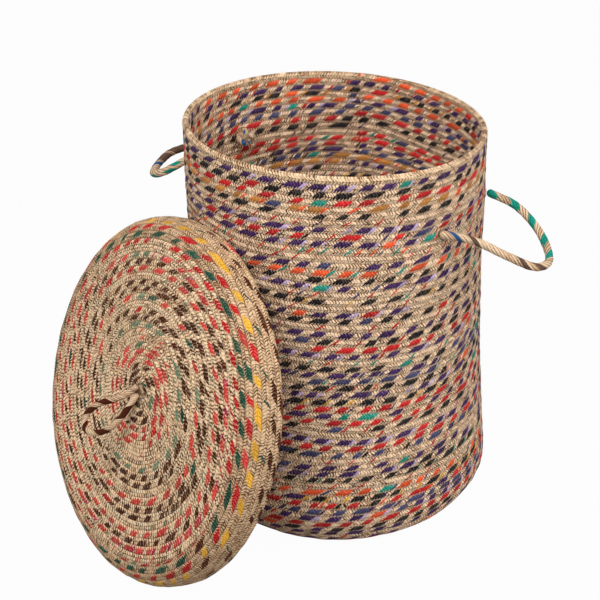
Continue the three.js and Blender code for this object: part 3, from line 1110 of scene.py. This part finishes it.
@dataclass
class Studio:
    """The camera at the photograph's angle, a pale floor and soft lamps, in metres and degrees."""

    aim: tuple[float, float, float] = (-0.0469, 0.0, 0.2634)
    distance: float = 1.8
    pitch: float = 27.78
    roll: float = -1.13
    focal_pixels: float = 1387.0
    picture: float = 600.0
    sensor: float = 36.0
    floor_reach: float = 7.0
    floor_drop: float = 0.0006
    floor_grey: float = 0.42
    floor_seen: float = 0.97
    world_light: float = 0.3
    world_colour: tuple[float, ...] = (1.0, 0.99, 0.97, 1.0)

    def build(self) -> None:
        """Makes the camera, the floor, the world and the lamps."""
        self.camera()
        self.floor()
        self.world()
        self.lamp("key", (-0.6, -1.35, 1.95), 1.1, 26.0)
        self.lamp("fill", (2.2, -1.1, 0.95), 1.2, 23.0)
        self.lamp("top", (0.1, -0.6, 2.3), 1.2, 21.0)

    def camera(self) -> None:
        """Places the camera."""
        pitch = math.radians(self.pitch)
        aim = Vector(self.aim)
        eye = aim + self.distance * Vector((0, -math.cos(pitch), math.sin(pitch)))
        data = bpy.data.cameras.new("camera")
        data.sensor_width = self.sensor
        data.lens = self.sensor * self.focal_pixels / self.picture
        made = linked("camera", data)
        made.location = eye
        turn = (aim - eye).to_track_quat("-Z", "Y").to_matrix().to_4x4()
        turned = turn @ Matrix.Rotation(math.radians(self.roll), 4, "Z")
        made.rotation_euler = turned.to_euler()
        bpy.context.scene.camera = made

    def floor(self) -> None:
        """Makes a pale floor that shows the object's soft shadow."""
        wiring = Wiring("floor")
        white = wiring.add("ShaderNodeEmission", {}, {"Color": (1, 1, 1, 1), "Strength": 1.0})
        grey = (self.floor_grey, self.floor_grey, self.floor_grey, 1)
        pale = wiring.add("ShaderNodeBsdfDiffuse", {}, {"Color": grey})
        sockets = {0: wiring.seen() * self.floor_seen, 1: pale, 2: white}
        both = wiring.add("ShaderNodeMixShader", {}, sockets)
        wiring.node("ShaderNodeOutputMaterial", {}, {"Surface": both})
        mesh = bpy.data.meshes.new("floor")
        reach = self.floor_reach
        corners = [(-reach, -reach, 0), (reach, -reach, 0), (reach, reach, 0), (-reach, reach, 0)]
        mesh.from_pydata(corners, [], [(0, 1, 2, 3)])
        mesh.materials.append(wiring.owner)
        made = linked("floor", mesh)
        made.location.z = -self.floor_drop

    def world(self) -> None:
        """Lights from all round, and shows white behind the object."""
        wiring = Wiring("world", bpy.data.worlds)
        sockets = {"Color": self.world_colour, "Strength": self.world_light}
        soft = wiring.add("ShaderNodeBackground", {}, sockets)
        white = wiring.add("ShaderNodeBackground", {}, {"Color": (1, 1, 1, 1)})
        both = wiring.add("ShaderNodeMixShader", {}, {0: wiring.seen(), 1: soft, 2: white})
        wiring.node("ShaderNodeOutputWorld", {}, {"Surface": both})
        bpy.context.scene.world = wiring.owner

    def lamp(self, name: str, place: tuple[float, float, float], size: float, power: float) -> None:
        """Adds a square lamp that looks at the object.

        Args:
            name: The lamp's name.
            place: Where it stands.
            size: Its side in metres.
            power: Its power in watts.
        """
        data = bpy.data.lights.new(name, "AREA")
        data.size = size
        data.energy = power
        made = linked(name, data)
        made.location = place
        way = Vector(self.aim) - Vector(place)
        made.rotation_euler = way.to_track_quat("-Z", "Y").to_euler()


@dataclass
class Hole:
    """A place where a rope passes between two rows of the wall."""

    angle: float
    row: float


@dataclass
class BasketBody:
    """The base, the round edge, the wall and the rim: one rope wound from the middle out and up."""

    wall_height: float = 511.0
    rim_radius: float = 185.0
    flare: float = 14.0
    flare_top: float = 320.0
    flare_power: float = 1.8
    corner_radius: float = 56.0
    corner_rows: int = 10
    wall_rows: int = 50
    rim_rows: int = 1
    rim_drop: float = 9.0
    lengths: int = 4
    hub: float = 5.0
    base_gap: float = 0.3
    holes: list[Hole] = field(default_factory=list)
    hole_open: float = 0.4
    hole_length: float = 15.0
    hole_rows: float = 1.7
    hole_edge: float = 6.0
    calm_rows: float = 4.0
    undulation: Unevenness = field(default_factory=lambda: Unevenness(23, 9, 9, 0.9))
    undulation_rows: float = 0.22
    base_rags: str = "PL K. r. OT R. P. KY r. PL K. " * 2
    rags: str = (
        "PL/O. K./Pr R./KC CO/O. K./PL r./S. PL/R. Rs/K. Pl/p. to/RT r./RO P./PK OT/SK K./CO "
        "PL rs Ky r. PL K. r. P. Kr R. PL rt K. PS St Kr "
        "PL Ky Rp P. R. Kr r. PL R. SK r. P. PL Kt r. OS KY RO SP PL R. K. P. r. PK R. K. PL r. K."
    )

    @property
    def rows(self) -> int:
        """How many rows the whole winding has."""
        return self.corner_rows + self.wall_rows + self.rim_rows

    def radius_at(self, height: Numbers) -> Numbers:
        """The wall's radius at a height, both in mm."""
        share = (self.flare_top - height) / (self.flare_top - self.corner_radius)
        return self.rim_radius + self.flare * np.maximum(0, share) ** self.flare_power

    @property
    def row_height(self) -> float:
        """The height of a row of the upright wall in mm."""
        return (self.wall_height - self.corner_radius) / (self.wall_rows + self.rim_rows)

    def settled(self, x: Numbers, height: Numbers) -> Numbers:
        """The height of a place once the mouth has dipped to one side."""
        return height - self.rim_drop * x / self.rim_radius * height / self.wall_height

    def to_world(self, row: np.ndarray, depth: np.ndarray, angle: np.ndarray) -> np.ndarray:
        """Places points of the wall: its rows part at the rope holes, and the floor flattens its foot.

        Args:
            row: How many rows from the start of the round edge.
            depth: How deep below the crests in mm.
            angle: Direction round the axis.

        Returns:
            The points in mm.
        """
        loose = eased(np.minimum(row, self.rows - row) / self.calm_rows)
        opened = row + self.undulation_rows * loose * self.undulation.at(angle, row)
        for hole in self.holes:
            off = (angle - hole.angle + math.pi) % TURN - math.pi
            near = np.exp(-((off * self.rim_radius / self.hole_length) ** 2))
            away = row - round(hole.row)
            parted = self.hole_open * near * np.tanh(away * self.hole_edge)
            opened += parted * np.exp(-np.abs(away) / self.hole_rows)
        radius, height = self.shell.place(opened, depth)
        x = radius * np.cos(angle)
        return np.stack([x, radius * np.sin(angle), np.maximum(self.settled(x, height), 0)], -1)

    @property
    def shell(self) -> Shell:
        """The shell that the rope is wound on."""
        return Shell(self.corner_radius, self.corner_rows, self.row_height, self.radius_at)

    def build(self) -> None:
        """Builds the base, the round edge, the wall's rope lengths and the rim."""
        wall = WALL.material("wall_rope")
        rim = RIM.material("rim_rope")
        foot = float(self.radius_at(self.corner_radius)) - self.corner_radius
        base = FlatCoil(
            hub=self.hub,
            edge=foot - self.base_gap,
            lay=Lay(self.base_rags.split(), seed=21),
            to_world=lambda flat, depth: np.concatenate([flat, np.maximum(depth, 0)[:, :, None]], -1),
        )
        add_piece("base_rope", base.sweep(0).mesh("base_rope"), wall, "basket", "dark_rag_jute", "base_coil")
        winding = RowWinding(
            shell=self.shell,
            rows=self.rows,
            lay=Lay(self.rags.split()[::-1] + [".."] * self.rim_rows, seed=31),
            climb=0.11,
            climb_angle=math.radians(78),
            steps=236,
            to_world=self.to_world,
        )
        shares = [i / self.lengths for i in range(self.lengths + 1)]
        marks = [0, *(self.corner_rows + int(self.wall_rows * share + 0.5) for share in shares), self.rows]
        walls = range(1, self.lengths + 1)
        names = ["heel_rope", *(f"wall_{i}_rope" for i in walls), "rim_rope"]
        nodes = ["heel_coil", *(f"wall_coil_{i}" for i in walls), "rim_coil"]
        slots = ["dark_rag_jute", *["dark_rag_jute", "bright_rag_jute"] * 2, "plain_jute"]
        for name, node, slot, first, last in zip(names, nodes, slots, marks, marks[1:]):
            finish = rim if name == "rim_rope" else wall
            add_piece(name, winding.sweep(first, last).mesh(name), finish, "basket", slot, node)


@dataclass(frozen=True)
class LoopShape:
    """How a rope loop lies: its droop in degrees, its size in mm and its route in shares of the size.

    The curl is how far it lifts out of its plane, by the square of the distance.
    """

    droop: float
    size: float
    route: Sequence[tuple[float, float]]
    curl: float = 0.0

    def line(
        self, start: np.ndarray, end: np.ndarray, outward: np.ndarray, down: np.ndarray
    ) -> np.ndarray:
        """The middle line between two pivots, as in the CAD.

        Args:
            start: First pivot.
            end: Second pivot.
            outward: The way that the loop stands away.
            down: The way that it droops.

        Returns:
            Points of the line in mm.
        """
        along = (end - start) / np.linalg.norm(end - start)
        away = outward - along * np.dot(outward, along)
        away /= np.linalg.norm(away)
        fall = down - along * np.dot(down, along)
        fall -= away * np.dot(fall, away)
        fall /= np.linalg.norm(fall)
        plane = away * math.cos(math.radians(self.droop)) + fall * math.sin(math.radians(self.droop))
        middle = (start + end) / 2
        inner = [
            middle + self.size * (along * x + plane * y - fall * self.curl * y * y)
            for x, y in self.route
        ]
        return centripetal(np.array([start, *inner, end]), 240)


@dataclass
class Knot:
    """An overhand knot with frayed ends, tied behind a wall that its rope passes through, in mm."""

    name: str
    place: np.ndarray
    way: np.ndarray
    seed: int
    width: float = 12.6
    length: float = 19.0
    rope: float = 4.1
    lay: float = 17.0
    stub_lay: float = 20.0
    stub_depth: float = 0.35
    frays: int = 11
    fray_length: tuple[float, float] = (10.0, 24.0)

    @property
    def axes(self) -> np.ndarray:
        """The knot's own directions.

        Returns:
            Rows: two directions across, and the knot's own way.
        """
        side = np.cross(self.way, [0.0, 0.0, 1.0])
        side /= np.linalg.norm(side)
        return np.array([side, np.cross(self.way, side), self.way])

    def build(
        self, body: str, finish: bpy.types.Material, radius: float, stubs: Sequence[np.ndarray]
    ) -> None:
        """Builds the knot, and short stubs of its rope that pass through the wall.

        Args:
            body: The CAD body that it rides on.
            finish: Its material.
            radius: Radius of the loop's rope.
            stubs: Where the stubs pass through, off the knot's place.
        """
        axes = self.axes
        turn = np.linspace(0, TURN, 97)
        spread = (self.width - self.rope) / 3
        deep = self.length / 2 - self.rope
        shape = np.stack(
            [
                (np.sin(turn) + 2 * np.sin(2 * turn)) * spread,
                (np.cos(turn) - 2 * np.cos(2 * turn)) * spread,
                self.length / 2 + 0.6 - np.sin(3 * turn) * deep,
            ],
            -1,
        )
        strips = [Strip(0.2, Rag.BLUE, 0.5), Strip(0.62, Rag.BLUE, 0.3)]
        cords = [Cord(self.place + shape @ axes, self.rope, self.lay, strips, sides=12, ridge=0.12)]
        out = THICKNESS + CLEARANCE - 0.3
        for offset in stubs:
            across = (axes @ offset)[:2]
            ends = np.array([[*across, -out], [*across, self.length * self.stub_depth]])
            line = evenly(self.place + ends @ axes, 1.5)
            cords.append(Cord(line, radius - 0.2, self.stub_lay, sides=14, blunt=(False, True)))
        cords += self._frays(axes)
        meshes = [cord.sweep().mesh(f"{self.name}_{i}") for i, cord in enumerate(cords)]
        add_piece(f"{self.name}_rope", joined(self.name, meshes), finish, body, "handle_jute", self.name)

    def _frays(self, axes: np.ndarray) -> list[Cord]:
        """The loose strands at the rope's end, which curl away from the knot.

        Args:
            axes: The knot's axes.

        Returns:
            One thin cord for each strand.
        """
        draw = np.random.default_rng(self.seed)
        steps = np.linspace(0, 1, 13)
        made = []
        for i in range(self.frays):
            angle = draw.uniform(0, TURN)
            size = draw.uniform(*self.fray_length)
            spread = np.array([math.cos(angle), math.sin(angle)])
            curl = draw.uniform(0.6, 1.6) * np.array([-spread[1], spread[0]])
            flat = spread[None, :] * (2.5 + 8.5 * np.sin(steps * 1.9))[:, None]
            flat = flat + curl[None, :] * (size * 0.22 * steps**2)[:, None]
            depth = self.length * 0.72 + 11.0 * np.sin(steps * math.pi * 0.62)
            depth = depth - draw.uniform(0, 7) * steps**2
            line = evenly(self.place + np.concatenate([flat, depth[:, None]], -1) @ axes, 1.6)
            radius = draw.uniform(0.55, 1.0)
            made.append(Cord(line, radius, 7.0, sides=6, ridge=0.1, taper=0.45, seed=self.seed + i))
        return made


@dataclass
class HandLoop:
    """A rope loop that swings about the line through its two holes, with a knot at each end."""

    side: str
    azimuth: float
    below: float
    shape: LoopShape
    strips: Sequence[Strip]
    body: BasketBody
    lay: float = 40.0
    radius: float = 5.0

    def ends(self) -> list[tuple[np.ndarray, np.ndarray, np.ndarray]]:
        """Finds the two ends.

        Returns:
            The way out, the place on the wall and the pivot of the back end, then of the front end.
        """
        height = self.body.wall_height - self.below
        radius = float(self.body.radius_at(height))
        reach = self.radius + CLEARANCE
        half = math.asin(self.shape.size / 2 / (radius + reach))
        found = []
        for angle in (math.radians(self.azimuth) + half, math.radians(self.azimuth) - half):
            out = np.array([math.cos(angle), math.sin(angle), 0.0])
            wall = out * radius
            wall[2] = self.body.settled(wall[0], height)
            found.append((out, wall, wall + out * reach))
        return sorted(found, key=lambda end: -end[1][1])

    def holes(self) -> list[Hole]:
        """Finds where the rope passes through the wall.

        Returns:
            The back hole and the front one.
        """
        row = self.body.corner_rows
        row += (self.body.wall_height - self.below - self.body.corner_radius) / self.body.row_height
        return [Hole(math.atan2(out[1], out[0]), row) for out, _, _ in self.ends()]

    def build(self, finish: bpy.types.Material) -> None:
        """Builds the loop, from the back pivot to the front one.

        Args:
            finish: Its material.
        """
        (_, _, start), (_, _, end) = self.ends()
        azimuth = math.radians(self.azimuth)
        outward = np.array([math.cos(azimuth), math.sin(azimuth), 0.0])
        route = self.shape.line(start, end, outward, np.array([0.0, 0.0, -1.0]))
        line = round_ended(evenly(route, 2.0), self.radius)
        cord = Cord(line, self.radius, self.lay, self.strips, ridge=0.06, seed=ord(self.side[0]))
        add_cord(f"handle_{self.side}", f"handle_{self.side}_rope", cord, finish)

    def build_knots(self, finish: bpy.types.Material) -> None:
        """Builds the knot inside the wall at each end of the loop.

        Args:
            finish: Their material.
        """
        for which, (out, wall, _) in zip(("back", "front"), self.ends()):
            name = f"handle_{self.side}_knot_{which}"
            knot = Knot(name, wall - out * THICKNESS, -out, seed=len(name) * 7 + ord(which[0]))
            knot.build("basket", finish, self.radius, [np.zeros(3)])


@dataclass
class Lid:
    """The shallow lid, which stands on the floor and leans on the wall with its top to the front."""

    radius: float = 223.0
    depth: float = 43.0
    corner_radius: float = 27.0
    skirt_rows: int = 6
    edge_rows: int = 1
    centre_turns: float = 9.0
    hub: float = 5.0
    shift: tuple[float, float] = (-4.0, 13.0)
    side: tuple[float, float, float] = (0.58496, -0.81106, 0.0)
    up: tuple[float, float, float] = (0.27341, 0.19719, 0.94147)
    normal: tuple[float, float, float] = (-0.76359, -0.55072, 0.3371)
    centre: tuple[float, float, float] = (-210.087, -151.52, 208.536)
    flat_rags: str = "BG B. B. AB A. A. a. n. N. BB B. .. A. B. BB n. A. B. AM a. R."
    skirt_rags: str = "G. R. Y. g. B. B."

    @property
    def axes(self) -> np.ndarray:
        """Rows: to its side, up its face, and out of its top."""
        return np.array([self.side, self.up, self.normal])

    def to_world(self, local: np.ndarray) -> np.ndarray:
        """Turns points of the lid's own frame into the row frame, in mm."""
        return np.array(self.centre) + local @ self.axes

    @property
    def shell(self) -> Shell:
        """The shell that the skirt is wound on.

        Returns:
            The shell, whose rows are all of one width.
        """
        quarter = self.corner_radius * math.pi / 2
        row = (quarter + self.depth - self.corner_radius) / self.skirt_rows
        return Shell(
            self.corner_radius, quarter / row, row, lambda height: np.full(np.shape(height), self.radius)
        )

    @property
    def top(self) -> FlatCoil:
        """The rope of the flat top.

        Returns:
            The coil, which lies in the lid's frame.
        """
        return FlatCoil(
            hub=self.hub,
            edge=self.radius - self.corner_radius,
            lay=Lay(self.flat_rags.split(), seed=41, hand=-1, pitch=27.0, width=0.5, strays="BNARG"),
            shift=self.shift,
            to_world=lambda flat, depth: self.to_world(
                np.concatenate([flat, self.depth - depth[:, :, None]], -1)
            ),
        )

    def build(self) -> None:
        """Builds the top, the skirt and the rope at the open edge."""
        rope = LID.material("lid_rope")
        # The skirt and its edge take the darkened copy of the lid's rope, which paints shade on them.
        edge = SHADED_SKIRT.material("lid_edge")
        skirt = RowWinding(
            shell=self.shell,
            rows=self.skirt_rows,
            lay=Lay(self.skirt_rags.split(), seed=51, hand=-1, pitch=38.0, width=0.42, strays="BGARY"),
            climb=0.07,
            climb_angle=math.radians(178),
            steps=300,
            to_world=self._skirt_point,
        )
        last = self.skirt_rows - self.edge_rows
        centre, outer = self.top.sweep(0, self.centre_turns), self.top.sweep(self.centre_turns)
        side, rim = skirt.sweep(0, last), skirt.sweep(last, self.skirt_rows)
        for name, sweep, finish, slot, node in (
            ("lid_centre_rope", centre, rope, "brown_rag_jute", "lid_centre_coil"),
            ("lid_outer_rope", outer, rope, "green_rag_jute", "lid_outer_coil"),
            ("lid_skirt_rope", side, edge, "green_rag_jute", "lid_skirt_coil"),
            ("lid_edge_rope_wound", rim, edge, "plain_jute", "lid_edge_rope"),
        ):
            add_piece(name, sweep.mesh(name), finish, "lid", slot, node)

    def _skirt_point(self, row: np.ndarray, depth: np.ndarray, angle: np.ndarray) -> np.ndarray:
        """Places points of the skirt.

        Args:
            row: How many rows from its start.
            depth: How deep below the crests in mm.
            angle: Direction round the lid's axis.

        Returns:
            The points in mm.
        """
        radius, height = self.shell.place(row, depth)
        local = np.stack([radius * np.cos(angle), radius * np.sin(angle), self.depth - height], -1)
        return self.to_world(local)


@dataclass
class LidLoop:
    """The small cord loop at the lid's hub, with its knot under the top."""

    lid: Lid
    radius: float = 4.0
    span: float = 10.0
    turn: float = -62.0
    lay: float = 24.0
    shape: LoopShape = LoopShape(
        droop=38.0,
        size=80.0,
        route=(
            (0.047, 0.171), (0.092, 0.346), (0.134, 0.523), (0.225, 0.681),
            (0.378, 0.777), (0.526, 0.746), (0.57, 0.56), (0.425, 0.286),
        ),
    )
    strips: Sequence[tuple[float, float]] = (
        (0.24, 0.5), (0.36, 0.5), (0.48, 0.3), (0.62, 0.55), (0.83, 0.8),
    )
    fillers: tuple[float, float] = (6.4, -3.6)

    @property
    def middle(self) -> np.ndarray:
        """The middle between the cord's two ends.

        Returns:
            The place in the lid's frame, on its middle plane.
        """
        turn = math.radians(self.turn)
        ahead = self.lid.top.line_at((self.turn + 360) / 360, turn)
        behind = self.lid.top.line_at((self.turn + 180) / 360, turn + math.pi)
        return np.array([*((ahead + behind) / 2), 0.0])

    @property
    def along(self) -> np.ndarray:
        """The way from the first end to the second, in the lid's frame."""
        turn = math.radians(self.turn)
        return np.array([math.cos(turn), math.sin(turn), 0.0])

    def build(self, finish: bpy.types.Material) -> None:
        """Builds the loop.

        Args:
            finish: Its material.
        """
        pivot = self.middle + np.array([0, 0, self.lid.depth + self.radius + CLEARANCE])
        start, end = (self.lid.to_world(pivot + self.along * side * self.span) for side in (-0.5, 0.5))
        route = self.shape.line(start, end, np.array(self.lid.normal), -np.array(self.lid.up))
        line = round_ended(evenly(route, 1.6), self.radius)
        strips = [Strip(place, Rag.BROWN, width) for place, width in self.strips]
        cord = Cord(line, self.radius, self.lay, strips, sides=14, ridge=0.1, seed=17)
        add_cord("lid_loop", "lid_loop_cord", cord, finish)

    def build_knot(self, finish: bpy.types.Material) -> None:
        """Builds the knot under the hub, with two stubs more than ends to fill the hub's hole.

        Args:
            finish: Its material.
        """
        place = self.lid.to_world(self.middle + np.array([0, 0, self.lid.depth - THICKNESS]))
        way = -np.array(self.lid.normal)
        knot = Knot(
            "lid_loop_knot", place, way, seed=5, length=15.0, rope=3.6, frays=7, fray_length=(8.0, 18.0)
        )
        away = np.array([self.along[1], -self.along[0], 0.0])
        offsets = [self.along * side * self.span for side in (-0.5, 0.5)]
        offsets += [away * filler for filler in self.fillers]
        knot.build("lid", finish, self.radius, [offset @ self.lid.axes for offset in offsets])


def hand_loops(body: BasketBody) -> list[HandLoop]:
    """The basket's two loops, with their routes and rag strips.

    Args:
        body: The basket that they hang on.

    Returns:
        The right and the left loop.
    """
    right_route = (
        (-0.555, 0.22), (-0.466, 0.442), (-0.274, 0.654), (-0.04, 0.785), (0.15, 0.735), (0.246, 0.502),
        (0.32, 0.225),
    )
    right_strips = [Strip(place, Rag.TEAL) for place in (-0.035, 0.08, 0.19, 0.32, 0.425)]
    right_strips += [Strip(place, Rag.BARK, 0.25) for place in (0.56, 0.63, 0.84)]
    right_strips.append(Strip(0.92, Rag.BLUE, 0.22))
    left_route = (
        (-0.469, 0.443), (-0.329, 0.709), (-0.097, 0.782), (0.181, 0.717), (0.45, 0.591), (0.64, 0.43),
        (0.67, 0.23),
    )
    left_strips = [Strip(place, Rag.BARK, 0.85) for place in (0.03, 0.19, 0.35, 0.51)]
    left_strips += [Strip(0.6, Rag.BLUE, 0.3), Strip(0.86, Rag.TEAL, 0.28), Strip(0.95, Rag.TEAL, 0.28)]
    return [
        HandLoop("right", -29.7, 83, LoopShape(23, 141, right_route), right_strips, body),
        HandLoop("left", 150, 74, LoopShape(36, 113, left_route, 0.38), left_strips, body),
    ]


def main() -> None:
    """Builds the scene."""
    logging.basicConfig(level=logging.INFO, format="%(name)s %(message)s")
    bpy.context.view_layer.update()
    Studio().build()
    cord = CORD.material("cord")
    body = BasketBody()
    loops = hand_loops(body)
    lid = Lid()
    lid_loop = LidLoop(lid)
    for loop in loops:
        loop.build(cord)
    lid_loop.build(cord)
    body.holes = [hole for loop in loops for hole in loop.holes()]
    body.build()
    for loop in loops:
        loop.build_knots(cord)
    lid.build()
    lid_loop.build_knot(cord)
    bpy.context.scene.view_settings.view_transform = "Standard"


if __name__ == "__main__":
    main()
